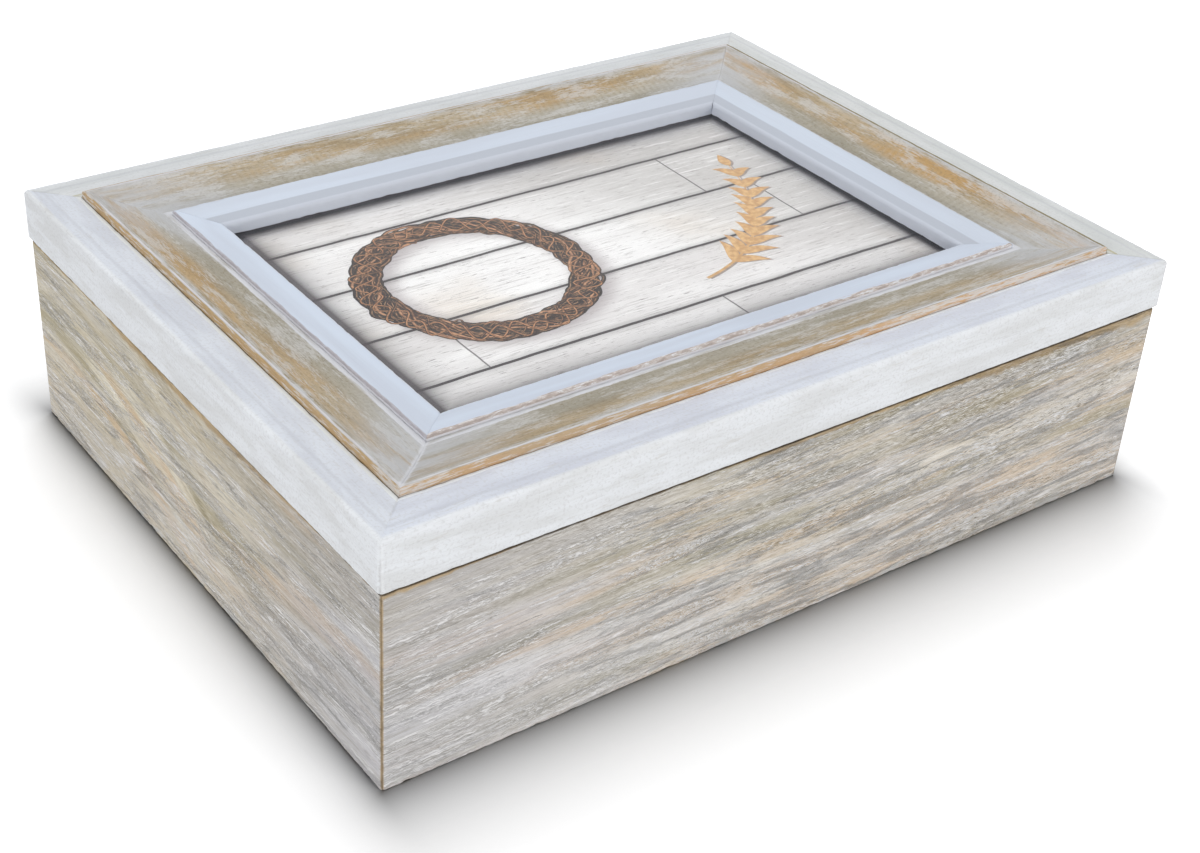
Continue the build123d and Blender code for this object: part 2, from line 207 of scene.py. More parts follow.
def open_tree(name, kind, takes):
    """Node tree whose inputs are given as kinds and names, and those inputs as values."""
    tree = bpy.data.node_groups.new(name, kind)
    for socket_kind, names in takes.items():
        for socket in names:
            tree.interface.new_socket(socket, in_out="INPUT", socket_type=f"NodeSocket{socket_kind}")
    sockets = tree.nodes.new("NodeGroupInput").outputs
    return tree, {socket.name: Value(socket) for socket in sockets if socket.name}


def close_tree(name, kind, value):
    """Makes a value its tree's output."""
    tree = value.socket.id_data
    tree.interface.new_socket(name, in_out="OUTPUT", socket_type=f"NodeSocket{kind}")
    fill(tree.nodes.new("NodeGroupOutput"), {name: value})
    return tree


def close_shape(form, material):
    """Makes a shape its tree's output, as a real mesh with its material."""
    real = put("GeometryNodeRealizeInstances", {"Geometry": form})
    finished = put("GeometryNodeSetMaterial", {"Geometry": real, "Material": material})
    return close_tree("Geometry", "Geometry", finished)


def keep(form, name, value):
    """A shape whose points keep a value under a name."""
    inputs = {"Geometry": form, "Name": name, "Value": value}
    return put("GeometryNodeStoreNamedAttribute", inputs, data_type="FLOAT", domain="POINT")


def mitred_bar_tree():
    """Bar that follows a closed outline of insets and heights, mitred at both ends and a little uneven."""
    tree, given = open_tree("Mitred bar", "GeometryNodeTree", {
        "Geometry": ["Outline"], "Int": ["Outline Points", "Stations"], "Material": ["Material"],
        "Float": [
            "Half Length", "Reach", "Turn", "Corner Radius", "Waviness", "Dents", "Mitre Groove",
            "Ripple Depth", "Ripple Show", "Ripple Pitch", "Ripple Inset", "Seed",
        ],
    })
    bar = put("GeometryNodeMeshCylinder", {
        "Vertices": given["Outline Points"], "Side Segments": given["Stations"],
        "Radius": 1.0, "Depth": 2.0,
    }, "Mesh", fill_type="NGON")
    index = put("GeometryNodeInputIndex", {}, tree=tree)
    turn_count = calc("MODULO", index, given["Outline Points"])

    def from_outline(value, data_type):
        inputs = {"Geometry": given["Outline"], "Value": value, "Index": turn_count}
        return put("GeometryNodeSampleIndex", inputs, data_type=data_type)

    def named(name, data_type):
        own = put("GeometryNodeInputNamedAttribute", {"Name": name}, tree=tree, data_type=data_type)
        return from_outline(own, data_type)

    place = put("GeometryNodeInputPosition", {}, tree=tree)
    inset, _, height = parts(from_outline(place, "FLOAT_VECTOR"))
    lean_in, _, lean_up = parts(named("lean", "FLOAT_VECTOR"))

    # Stations crowd towards the two mitres
    station = parts(place)[2]
    room = given["Half Length"] - inset
    along = (station + calc("SINE", station * math.pi) * 0.2) * room

    # Waviness over the whole face, dents at the arrises, ripples across, and a fine groove at the mitre
    spot = vector(along + given["Seed"], inset, height)
    slow = noise(spot, 45, 2)
    near_arris = fall(named("arris", "FLOAT"), 0.0002, 0.0016)
    dent = rise(noise(spot, 330, 3), 0.42, 0.78) * near_arris
    swing = calc("SINE", (slow * 3 + along / given["Ripple Pitch"]) * (2 * math.pi))
    ripple = (swing * 0.5 + 0.5) * rise(inset - given["Ripple Inset"], 0, 0.004)
    groove = fall(room - abs(along), 0, 0.0005)
    depth = slow * given["Waviness"] + dent * given["Dents"] + ripple * given["Ripple Depth"]
    depth = depth + groove * given["Mitre Groove"]
    sunk_inset = inset - lean_in * depth

    # The upright outer corner is rounded, in plan
    straight = given["Half Length"] - given["Corner Radius"]
    length_over = calc("MAXIMUM", abs(along) - straight, 0)
    inset_over = calc("MAXIMUM", given["Corner Radius"] - sunk_inset, 0)
    over = calc("SQRT", length_over * length_over + inset_over * inset_over) + 1e-9
    squeeze = calc("MAXIMUM", length_over, inset_over) / over
    out_length = (length_over * squeeze + calc("MINIMUM", abs(along), straight)) * calc("SIGN", along)
    out_inset = calc("MAXIMUM", sunk_inset, given["Corner Radius"]) - inset_over * squeeze
    unturned = vector(out_length, out_inset - given["Reach"], height - lean_up * depth)
    turned = put("ShaderNodeVectorRotate", {
        "Vector": unturned, "Angle": given["Turn"],
    }, rotation_type="Z_AXIS")
    kept = keep(put("GeometryNodeFlipFaces", {0: bar}), "ripple", ripple * given["Ripple Show"])
    shaped = put("GeometryNodeSetPosition", {"Geometry": kept, "Position": turned})
    return close_shape(shaped, given["Material"])


def eased_outline(corners):
    """Closed outline through (inset, height, radius, step) corners: arcs, and points a step apart."""
    arcs = []
    for number, (inset, height, radius, step) in enumerate(corners):
        here = np.array((inset, height))
        others = (corners[number - 1], corners[(number + 1) % len(corners)])
        ways = [np.array(other[:2]) - here for other in others]
        before, after = [way / np.linalg.norm(way) for way in ways]
        arc = [here]
        if radius:
            half = math.acos(np.clip(before @ after, -1, 1)) / 2
            bisector = (before + after) / np.linalg.norm(before + after)
            centre = here + bisector * radius / math.sin(half)
            start, end = [here + way * radius / math.tan(half) - centre for way in (before, after)]
            spokes = [start * (1 - share) + end * share for share in np.linspace(0, 1, ARC_POINTS)]
            arc = [centre + spoke / np.linalg.norm(spoke) * radius for spoke in spokes]
        arcs.append((arc, step))
    points = []
    for number, (arc, step) in enumerate(arcs):
        leave, arrive = arc[-1], arcs[(number + 1) % len(arcs)][0][0]
        count = max(1, math.ceil(np.linalg.norm(arrive - leave) / step))
        points += arc + [leave + (arrive - leave) * share / count for share in range(1, count)]
    return points


def solid_from(name, points, faces):
    """Object with a mesh of its own."""
    mesh = bpy.data.meshes.new(name)
    mesh.from_pydata(points, [], faces)
    mesh.update()
    return in_scene(name, mesh)


def baked(piece):
    """Turns a piece with modifiers into a plain mesh, with none left."""
    depsgraph = bpy.context.evaluated_depsgraph_get()
    plain = bpy.data.meshes.new_from_object(piece.evaluated_get(depsgraph))
    piece.modifiers.clear()
    piece.data = plain
    plain.name = piece.name


def shape(piece, tree, values):
    """Sends a piece through a Geometry Nodes tree with these named inputs."""
    modifier = piece.modifiers.new(tree.name, "NODES")
    modifier.node_group = tree
    for item in tree.interface.items_tree:
        if item.in_out == "INPUT" and item.name in values:
            modifier[item.identifier] = values[item.name]
    baked(piece)


def mark(piece, **marks):
    """Numbers or vectors that a piece's points keep under names."""
    for name, values in marks.items():
        kind, field = ("FLOAT_VECTOR", "vector") if np.ndim(values) == 2 else ("FLOAT", "value")
        kept = piece.data.attributes.get(name) or piece.data.attributes.new(name, kind, "POINT")
        kept.data.foreach_set(field, np.asarray(values, np.float32).ravel())


def mitred_bars(
    look, kind, body, corners, outer, finish, seeds, cutters=(), mellow=None, show=None,
    station_step=STATION_STEP, **uneven
):
    """The four sides of a frame.  outer is its half length and half depth, seeds the first side's seed
    and the step to the next, mellow how far each side's tone shifts, for ageing and, on the coves
    and slips, for painted shade on the far sides, show how far its ripples show."""
    loop = np.array(eased_outline(corners))
    tangent = np.roll(loop, -1, 0) - np.roll(loop, 1, 0)
    tangent /= np.linalg.norm(tangent, axis=1)[:, None]
    bends = np.array([corner[:2] for corner in corners])

    def arris_distance(section):
        return np.linalg.norm(section[:, None] - bends[None], axis=2).min(1)

    for number, side in enumerate(TURNS):
        half_length, reach = outer if side in ("front", "back") else outer[::-1]
        turn = math.radians(TURNS[side])
        seed = seeds[0] + seeds[1] * number
        side_show = show[side] if show else 0.0
        piece = solid_from(f"{look}_{side}_{kind}", [(x, 0, z) for x, z in loop], [])
        lean = np.stack([-tangent[:, 1], np.zeros(len(loop)), tangent[:, 0]], 1)
        mark(piece, lean=lean, arris=arris_distance(loop))
        shape(piece, bar_tree, {
            "Outline Points": len(loop), "Stations": round(2 * half_length / station_step),
            "Half Length": half_length, "Reach": reach, "Turn": turn, "Seed": seed, "Material": finish,
            "Ripple Pitch": RIPPLE_PITCH, "Ripple Depth": RIPPLE_DEPTH * side_show,
            "Ripple Show": side_show, **uneven,
        })
        if cutters and side == "back":
            for cutter in cutters:
                cut = piece.modifiers.new(cutter.name, "BOOLEAN")
                cut.object, cut.operation, cut.solver = cutter, "DIFFERENCE", "MANIFOLD"
            baked(piece)

        # Where each point lies in its plank, how far it is from the arrises and mitres, and its tone shift
        spots = np.zeros(len(piece.data.vertices) * 3, np.float32)
        piece.data.vertices.foreach_get("co", spots)
        x, y, height = spots.reshape(-1, 3).T
        along = x * math.cos(turn) + y * math.sin(turn)
        inset = reach + y * math.cos(turn) - x * math.sin(turn)
        mark(
            piece,
            grain=np.stack([along + seed, height, inset], 1),
            arris=arris_distance(np.stack([inset, height], 1)),
            corner=np.hypot(np.maximum(inset, 0), half_length - np.abs(along)),
            mitre=np.maximum(half_length - np.abs(along) - inset, 0) / math.sqrt(2),
            mellow=np.full(len(x), mellow[side] if mellow else 0.0),
        )
        piece.data.shade_smooth()
        piece.data.set_sharp_from_angle(angle=SHARP_ANGLE)
        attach(piece, body)
        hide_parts(f"{side}_{kind}")


def shade(colour):
    """A colour as a display shows it, from 0 to 255, in the four linear numbers that a shader takes."""
    if isinstance(colour, Value) or len(colour) == 4:
        return colour
    shown = [part / 255 for part in colour]
    return (*[part / 12.92 if part < 0.04045 else ((part + 0.055) / 1.055) ** 2.4 for part in shown], 1.0)


def new_finish(name, inputs, *given):
    """Material whose Principled shader takes what inputs(tree, ...) gives."""
    material = bpy.data.materials.new(name)
    material.use_nodes = True
    tree = material.node_tree
    fill(tree.nodes["Principled BSDF"], inputs(tree, *given))
    return material


def tint(mask, under, over, blend="MIX"):
    """One colour laid over another through a mask."""
    colours = {0: mask, 6: shade(under), 7: shade(over)}
    return put("ShaderNodeMix", colours, 2, data_type="RGBA", blend_type=blend)


def coats(colour, *layers):
    """A colour under layers of mask and colour, each laid over the one before."""
    for mask, *over in layers:
        colour = tint(mask, colour, *over)
    return colour


def ramp(value, *stops):
    """Colour ramp through (position, colour) stops."""
    made = put("ShaderNodeValToRGB", {0: value})
    elements = made.socket.node.color_ramp.elements
    while len(elements) < len(stops):
        elements.new(1.0)
    for element, (position, colour) in zip(elements, stops):
        element.position = position
        element.color = shade(colour)
    return made


def shader_group(name, output):
    """Makes a shader group of a function: its first argument is a place, the others are numbers."""
    def group_of(build):
        names = [word.replace("_", " ").title() for word in inspect.signature(build).parameters]
        tree, given = open_tree(name, "ShaderNodeTree", {"Vector": names[:1], "Float": names[1:]})
        close_tree(output, "Float", build(*given.values()))
        return lambda *values: put("ShaderNodeGroup", dict(zip(names, values)), output, node_tree=tree)

    return group_of


@shader_group("Long grain streaks", "Streak")
def streak(place, length, width, roughness, offset):
    """Streaks along the grain, from 0 to 1, with their length and width in millimetres."""
    crosswise = 1000 / width
    scaled = place * vector(1000 / length, crosswise, crosswise)
    return put("ShaderNodeMapRange", {0: noise(scaled + offset, 1, 3, roughness, 0.12), 1: 0.28, 2: 0.72})


@shader_group("Worn arris", "Bare")
def worn(place, distance, width, ragged):
    """Bare wood along an arris, ragged at its border, with its width in millimetres."""
    swing = (noise(place, 260, 4, 0.65) - 0.5) * ragged
    return fall(distance * 1000 / width + swing, 0.55, 1.1)


@shader_group("Dry brush", "Paint")
def brushed(place, cover, stroke_length, bristle_width, patch_length, patch_width, softness, offset):
    """Thin paint caught on the raised grain.  cover is its share, the sizes are in millimetres."""
    bristle = streak(place, stroke_length, bristle_width, 0.6, offset)
    patch = streak(place, patch_length, patch_width, 0.5, offset)
    border = 1 - cover
    return rise(bristle * 0.45 + patch * 0.55, border - softness, border + softness)


def kept_marks(tree, *names):
    """What a piece's points keep under these names."""
    return [
        put("ShaderNodeAttribute", {}, "Vector" if name == "grain" else "Fac", tree, attribute_name=name)
        for name in names
    ]


def object_place(tree, scale=None):
    """Object coordinates, scaled to suit a pattern."""
    own = put("ShaderNodeTexCoord", {}, "Object", tree)
    return put("ShaderNodeMapping", {"Vector": own, "Scale": scale}) if scale else own


def surface(colour, roughness, specular=0.5, relief=None, depth=0.0):
    """Inputs of a Principled shader, with a relief that is depth metres deep."""
    inputs = {"Base Color": colour, "Roughness": roughness, "Specular IOR Level": specular}
    if relief:
        inputs["Normal"] = put("ShaderNodeBump", {"Height": relief, "Distance": depth})
    return inputs


bar_tree = mitred_bar_tree()


def washed_board_inputs(tree):
    """Brushed softwood under a thin white wash, yellower away from the near corner."""
    straight, arris, corner, mitre = kept_marks(tree, "grain", "arris", "corner", "mitre")
    along, height, inset = parts(straight)
    x, y, _ = parts(object_place(tree))
    mellow = rise(y, -0.075, -0.02, 0.85) + rise(x, -0.095, -0.03, 0.3)

    # The grain runs out slowly, bends, and arches once in a flame on the left board
    wandering = put("ShaderNodeMapping", {"Vector": straight, "Scale": (7, 9, 0)})
    run_out = along * GRAIN_SLOPE + noise(wandering, 1, 1) * GRAIN_BEND
    off_flame = calc("MINIMUM", abs(along - FLAME_PLACE), FLAME_REACH)
    arch = off_flame * off_flame * FLAME_CURVATURE
    place = straight + vector(0, run_out)
    arched = place + vector(0, arch)

    broad = streak(arched, 130, 7.5, 0.5, 0)
    narrow = streak(arched, 32, 1.8, 0.6, 7.7)
    olive = rise(streak(arched, 90, 8, 0.5, 33), 0.42, 0.75, 0.7)
    worn_end = rise(x, -0.02, 0.1, 0.2)
    warm = rise(streak(arched, 80, 7, 0.45, 21.3), 0.52, 0.85, 0.85)
    cool = rise(streak(place, 70, 5, 0.5, 27), 0.5, 0.8, 0.6) * rise(height, 0.01, 0.04)
    ragged = narrow * 0.003 + (height + arch)
    flame = fall(ragged, FLAME_HEIGHT - FLAME_BORDER, FLAME_HEIGHT, 0.6)
    veil = brushed(place, 0.42, 20, 0.6, 80, 5, 0.15, 2)
    near_corner = fall(x + y, -0.184, -0.1, 0.42)
    # Painted shade: the boards grow darker and browner towards the top, under the lid's overhang
    sheltered = rise(broad * 0.012 + height, 0.034, BOARD_HEIGHT, 0.3)
    washed = fall(broad * -0.012 + height, 0.004, 0.02, 0.2)

    # Dark fibres, open pores, and paint crinkled on the raised grain, most of it at the worn end
    lively = fade(streak(place, 38, 6, 0.5, 51), 0.3, 0.65, 0.4, 1)
    lively = lively * fade(x, -0.09, -0.01, 0.3, 1)
    calm = 1 - lively
    crinkled = place + vector(0, noise(straight, 650, 2) * 0.0009)
    fibre = streak(place, 13, 0.4, 0.75, 5)
    hair = streak(crinkled, 2.6, 0.24, 0.8, 11)
    thick = brushed(place, fade(height, 0, 0.045, 0.58, 0.44), 9, 0.6, 28, 4, 0.08, 9)
    dashes = rise(streak(crinkled, calm * 9 + 4.5, 0.35, 0.75, 9), 0.42, 0.62)
    strokes = dashes * fade(thick, 0, 1, 0.06, 1) * (calm * -0.35 + 1)

    # Raw wood along the arrises, painted shade in the seam under the lid as a dark band at the very top,
    # chips of paint at the foot
    width = fade(streak(straight, 60, 60, 0.5, 17), 0.35, 0.8, 0.15, 1.7)
    width = width + mellow * 0.8 + worn_end * 9
    low_edge = fall(height, 0.0005, 0.004)
    rubbed = worn(place, arris, width, 1.4) * (low_edge * -0.6 + 0.72)
    bare = calc("MAXIMUM", worn(place, corner, 0.66, 0.45) * 0.85, rubbed)
    # Painted shade: a dark band along the top outer edge, inside the seam under the lid
    seam = rise(height, BOARD_HEIGHT - 0.0005, BOARD_HEIGHT - 0.0002, 0.9)
    seam = seam * fall(inset, 0.0003, 0.0008)
    chips = rise(streak(place, 9, 2.4, 0.7, 41), 0.55, 0.7)
    colour = coats(
        ramp(
            narrow * 0.4 + broad * 0.6, (0.25, (175, 167, 151)), (0.43, (213, 206, 195)),
            (0.57, (234, 229, 222)), (0.74, (250, 248, 246)),
        ),
        (olive, (172, 166, 143)),
        (warm + worn_end, (224, 202, 176)),
        (cool, (208, 210, 219)),
        (flame, (228, 220, 208)),
        (veil * 0.55, (231, 229, 232)),
        (mellow, YELLOWED, "MULTIPLY"),
        (near_corner, (168, 169, 182)),
        (sheltered, (160, 150, 124)),
        (washed, (230, 230, 236)),
        (fall(fibre, 0.12, 0.5, 0.4), (140, 131, 112)),
        (rise(fibre, 0.55, 0.85, 0.35), (240, 238, 234)),
        (fall(hair, 0.12, 0.46) * lively, (112, 102, 82)),
        (strokes, (249, 248, 249)),
        (rise(hair, 0.54, 0.72, 0.9) * lively, (249, 247, 244)),
        (bare, tint(narrow, (158, 130, 88), (200, 170, 120))),
        (seam, (72, 60, 46)),
        (fall(mitre, 0, 0.0003, 0.55), (118, 104, 84)),
        (chips * low_edge, (220, 219, 216)),
    )
    raised = fibre * 0.5 + (strokes * 0.5 + hair * lively * 0.8)
    return surface(colour, fade(veil, 0, 1, 0.78, 0.6), 0.3, raised, 0.0002)


def prisms(name, rings, along_x=False):
    """Solids over closed rings of spots, each between two heights, or between two places along X."""
    points, faces = [], []
    for ring, low, high in rings:
        first, count = len(points), len(ring)
        for end in (low, high):
            points += [(end, *spot) if along_x else (*spot, end) for spot in ring]
        faces.append([first + k for k in reversed(range(count))])
        faces.append([first + count + k for k in range(count)])
        for k in range(count):
            after = (k + 1) % count
            faces.append([first + k, first + after, first + count + after, first + count + k])
    return solid_from(name, points, faces)


def hinge_seats():
    """What the two hinges take out of the back board and the back rail: leaf pockets and barrel notches."""
    pockets, notches = [], []
    for hinge in ("left", "right"):
        leaf_low, leaf_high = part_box(f"hinge_leaf_box_{hinge}")
        pin_low, pin_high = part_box(f"hinge_pin_{hinge}")
        axis = (pin_low + pin_high) / 2
        front = leaf_low.y - MORTISE_CLEARANCE
        low, high = BOARD_HEIGHT - LEAF_THICKNESS, LID_BOTTOM + LEAF_THICKNESS
        ring = [(front, low), (axis.y, low), (axis.y, high), (front, high)]
        pockets.append((ring, leaf_low.x - MORTISE_CLEARANCE, leaf_high.x + MORTISE_CLEARANCE))
        angles = [2 * math.pi * step / NOTCH_SIDES for step in range(NOTCH_SIDES)]
        ring = [
            (axis.y + NOTCH_RADIUS * math.cos(angle), axis.z + NOTCH_RADIUS * math.sin(angle))
            for angle in angles
        ]
        notches.append((ring, pin_low.x - NOTCH_CLEARANCE, pin_high.x + NOTCH_CLEARANCE))
    return [prisms("leaf_pockets", pockets, True), prisms("barrel_notches", notches, True)]


box_outer = (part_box("right_board")[1].x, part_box("back_board")[1].y)
groove_low, groove_high = [corner.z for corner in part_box("bottom_panel")]
groove_inset = BOARD_THICKNESS - GROOVE_DEPTH
board_corners = [
    (0.0, 0.0, BOARD_ARRIS, 0.0009),
    (0.0, BOARD_HEIGHT, BOARD_ARRIS, 0.001),
    (BOARD_THICKNESS, BOARD_HEIGHT, INNER_ARRIS, 0.002),
    (BOARD_THICKNESS, groove_high, 0.0, 0.002),
    (groove_inset, groove_high, 0.0, 0.002),
    (groove_inset, groove_low, 0.0, 0.002),
    (BOARD_THICKNESS, groove_low, 0.0, 0.002),
    (BOARD_THICKNESS, 0.0, INNER_ARRIS, 0.002),
]
seats = hinge_seats()
mitred_bars(
    "washed", "board", "box", board_corners, box_outer,
    new_finish("washed_board", washed_board_inputs), (0.5, 0.83), seats,
    **{"Corner Radius": BOARD_CORNER_RADIUS, "Waviness": 0.00004, "Dents": 0.00022, "Mitre Groove": 0.0001},
)

# ---------------- bottom panel
# Thin plywood sheet, let into the groove of the four boards and left to slide in it.


def dress(finish, *nodes):
    """Gives carried-over pieces their finish."""
    for node in nodes:
        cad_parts[node].data.materials.clear()
        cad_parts[node].data.materials.append(finish)


def plywood_inputs(tree):
    place = object_place(tree)
    wide = streak(place, 120, 9, 0.5, 4)
    lines = streak(place, 30, 0.7, 0.6, 9)
    pores = streak(place, 5, 0.22, 0.7, 14)
    colour = ramp(
        lines * 0.35 + wide * 0.65,
        (0.2, (190, 172, 143)), (0.5, (208, 192, 165)), (0.8, (221, 208, 185)),
    )
    colour = tint(fall(pores, 0.05, 0.3, 0.45), colour, (150, 126, 95))
    return surface(colour, fade(lines, 0, 1, 0.6, 0.75), relief=pores, depth=0.00005)


dress(new_finish("thin_plywood", plywood_inputs), "bottom_panel")

# ---------------- lid rails
# The lid's outer frame: four rails with mitred corners under opaque white paint, brushed out along
# the grain.  A ledge inside carries the moulding.  The underside is painted as well.
RAIL_TOP_WIDTH = 0.010
LEDGE_HEIGHT = 0.005
RAIL_ARRIS = 0.0009
RAIL_CORNER_RADIUS = 0.001
LOWER_ARRIS = 0.0003
SLIGHT_ARRIS = 0.0002
NAIL_RELIEF = 0.00003
RAIL_MELLOW = {"front": 0.0, "right": 1.0, "back": 0.8, "left": 0.2}


def white_rail_inputs(tree):
    """Brushed white paint, thicker and bluer on top, with a pale line along its inner edge beside the
    moulding and a line of painted shade along the top.
    """
    place, corner, mitre, mellow = kept_marks(tree, "grain", "corner", "mitre", "mellow")
    _, height, depth = parts(place)
    cloud = streak(place, 24, 5, 0.6, 2)
    lines = streak(place, 14, 0.5, 0.65, 6)
    brush = streak(place, 5, 0.3, 0.7, 12)
    rubbed = streak(place, 10, 1.4, 0.7, 31)
    speck = noise(place, 1500, 2)
    cloudy = rise(cloud, 0.25, 0.8)
    cool = tint(cloudy, (224, 229, 239), (214, 218, 229))
    neutral = tint(cloudy, (226, 228, 228), (216, 219, 218))
    upright = tint(cloudy, (236, 239, 243), (225, 227, 229))
    # A pale line along the inner top edge, olive on the right and back rails
    bead_edge = mellow * 0.0009 + (brush * 0.0006 + depth)
    bead = rise(bead_edge, 0.0093, 0.0096) * fade(mellow, 0, 1, 0.95, 0.7)
    beyond = rise(bead_edge, 0.0099, 0.0102) * rise(mellow, 0.3, 0.8)
    bead = bead * (beyond * -0.75 + 1) * calc("GREATER_THAN", height, LID_BOTTOM + 0.008)
    joint = fall(mitre, 0, 0.0005, 0.2) * fade(cloud, 0.3, 0.6, 0.1, 1)
    colour = coats(
        tint(mellow, cool, neutral),
        (fall(depth, 0.0006, 0.0016), upright),
        (fall(speck, 0.32, 0.5, 0.3), (196, 195, 196)),
        (fall(lines, 0.05, 0.4, 0.18), (192, 193, 196)),
        (fall(brush, 0.05, 0.42, 0.2), (184, 183, 182)),
        (rise(rubbed, 0.7, 0.95, 0.3), (198, 194, 188)),
        # Painted shade: a grey line along the top, about 3.4 mm in from the outer face
        (fall(abs(depth - 0.0034), 0, 0.0008, 0.3), (188, 190, 197)),
        (bead, tint(mellow, (244, 249, 255), (182, 173, 124))),
        (worn(place, corner, 0.5, 2.6) * 0.2, (160, 154, 150)),
        (joint, (150, 148, 148)),
    )
    return surface(colour, fade(lines, 0, 1, 0.62, 0.48), 0.35, brush * 0.5 + lines, 0.00004)


rail_low, rail_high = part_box("front_rail")
lid_outer = (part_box("right_rail")[1].x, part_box("back_rail")[1].y)
rail_width = rail_high.y - rail_low.y
ledge_height = LID_BOTTOM + LEDGE_HEIGHT
painted_bottom = LID_BOTTOM + NAIL_RELIEF
rail_corners = [
    (0.0, painted_bottom, LOWER_ARRIS, 0.0008),
    (0.0, rail_high.z, RAIL_ARRIS, 0.0008),
    (RAIL_TOP_WIDTH, rail_high.z, SLIGHT_ARRIS, 0.002),
    (RAIL_TOP_WIDTH, ledge_height, 0.0, 0.003),
    (rail_width, ledge_height, 0.0, 0.002),
    (rail_width, painted_bottom, SLIGHT_ARRIS, 0.002),
]
mitred_bars(
    "white", "rail", "lid", rail_corners, lid_outer,
    new_finish("white_rail", white_rail_inputs), (4.1, 0.61), seats, RAIL_MELLOW,
    **{"Corner Radius": RAIL_CORNER_RADIUS, "Waviness": 0.00003, "Dents": 0.00012, "Mitre Groove": 0.00006},
)
for cutter in seats:
    bpy.data.objects.remove(cutter)

# ---------------- cove mouldings
# Four lengths of moulding on the rails' ledge: a narrow crest, then a shallow hollow towards the
# window.  The cutter has left ripples across the hollow, and a white wash lies in them.
COVE_CREST_WIDTH = 0.0016
CREST_RADIUS = 0.00045
COVE_HOLLOW = 0.0005
COVE_FALL = 0.0032
COVE_STATION_STEP = 0.00045
HOLLOW_STEPS = 22
JOINT_GAP = 0.00012
RIPPLE_SHOW = {"front": 0.25, "right": 0.5, "back": 0.7, "left": 0.15}
COVE_MELLOW = {"front": 0.1, "right": 1.0, "back": 0.45, "left": 0.5}


def brushed_cove_inputs(tree):
    """Tan softwood, greyer at the foot, with thin wash in its ripples, pale paint caught on its edges, a
    pale crest line that is partly paint and partly painted highlight, and painted shade beside the crest on
    the right side.
    """
    place, ripple, mitre, mellow = kept_marks(tree, "grain", "ripple", "mitre", "mellow")
    inset = parts(place)[2] * 1000
    x, y, _ = parts(object_place(tree))
    broad = streak(place, 32, 6, 0.5, 1)
    narrow = streak(place, 7, 0.6, 0.7, 5.5)
    fibre = streak(place, 1.8, 0.24, 0.75, 9)
    uneven = streak(place, 20, 2, 0.65, 19)
    hollow = rise(inset, 11.4, 13.4) * fall(inset, 17.5, 22)
    patchy = fade(streak(place, 40, 6, 0.5, 15), 0.25, 0.8, 0.25, 1)
    warm = hollow * patchy * fade(mellow, 0, 1, 0.3, 0.95)
    paint = brushed(place, 0.42, 2.4, 0.32, 14, 3, 0.12, 8)
    speck = noise(place, 1700, 2)
    chatter = ripple * rise(inset, 12.5, 17) * fade(broad, 0.25, 0.7, 0.15, 0.45)

    # Pale paint at the mitre and in the foot, a pale line on the crest that is partly paint and partly
    # painted highlight, and painted shade along the joint beside the crest
    wash = fall(mitre, 0, 0.022) * fade(uneven, 0.1, 0.7, 0.25, 0.8)
    rim = fall(inset, 11.2, 13.4, 0.7) * rise(narrow, 0.3, 0.6)
    foot = rise(fibre * 0.3 + inset, 23.7, 24.1, fade(uneven, 0.2, 0.6, 0.45, 1))
    near_corner = fall(x + y, -0.14, -0.03)
    filled = fall(narrow * 0.0006 + mitre, 0.0005, 0.0011, 0.8)
    filled = filled * fade(near_corner, 0, 1, 0.25, 1)
    # Partly pale paint, partly painted highlight along the crest
    crest = fall(abs(inset - 11), 0.1, fade(mellow, 0, 1, 0.3, 0.5))
    crest = crest * fade(uneven, 0.2, 0.6, 0.3, 1)
    # Painted shade along the joint beside the crest, strongest on the right side
    dirt = fall(narrow * 0.25 + inset, 11.1, 11.25, 0.9) * rise(mellow, 0.4, 1)

    # The outer step is raw wood
    raw = coats(
        ramp(
            streak(place, 55, 20, 0.5, 26), (0.3, (196, 170, 138)), (0.48, (206, 171, 132)),
            (0.62, (212, 174, 134)), (0.8, (216, 192, 166)),
        ),
        (rise(mellow, 0.1, 0.5, 0.8), (190, 162, 120)),
        (fall(fibre, 0.1, 0.5, 0.35), (156, 130, 98)),
    )
    missed = calc("MAXIMUM", fall(mitre, 0, 0.009), rise(x, 0, 0.07))
    broken = rise(missed * 0.3 + streak(place, 5, 0.5, 0.7, 29), 0.5, 0.8, 0.75)
    pale = (228, 229, 234)
    colour = coats(
        ramp(
            narrow * 0.45 + broad * 0.55, (0.2, (156, 144, 121)), (0.45, (177, 164, 140)),
            (0.65, (194, 181, 157)), (0.9, (209, 199, 181)),
        ),
        (warm, (200, 164, 113)),
        (rise(inset, 16.5, 20.5, 0.6), (176, 174, 164)),
        (fall(fibre, 0.1, 0.45, 0.45), (130, 114, 90)),
        (paint * 0.6, (220, 219, 217)),
        (fall(speck, 0.3, 0.48, 0.35), (132, 118, 94)),
        (chatter, (208, 206, 200)),
        (calc("MAXIMUM", wash, rim), (206, 208, 212)),
        (foot, pale),
        (filled, pale),
        (crest, tint(mellow, (222, 222, 224), (230, 226, 232))),
        (fall(inset, 10.55, 10.75), tint(broken, raw, (222, 220, 218))),
        (dirt, (140, 129, 92)),
    )
    return surface(colour, fade(paint, 0, 1, 0.75, 0.58), 0.3, paint * 0.5 + fibre, 0.0001)


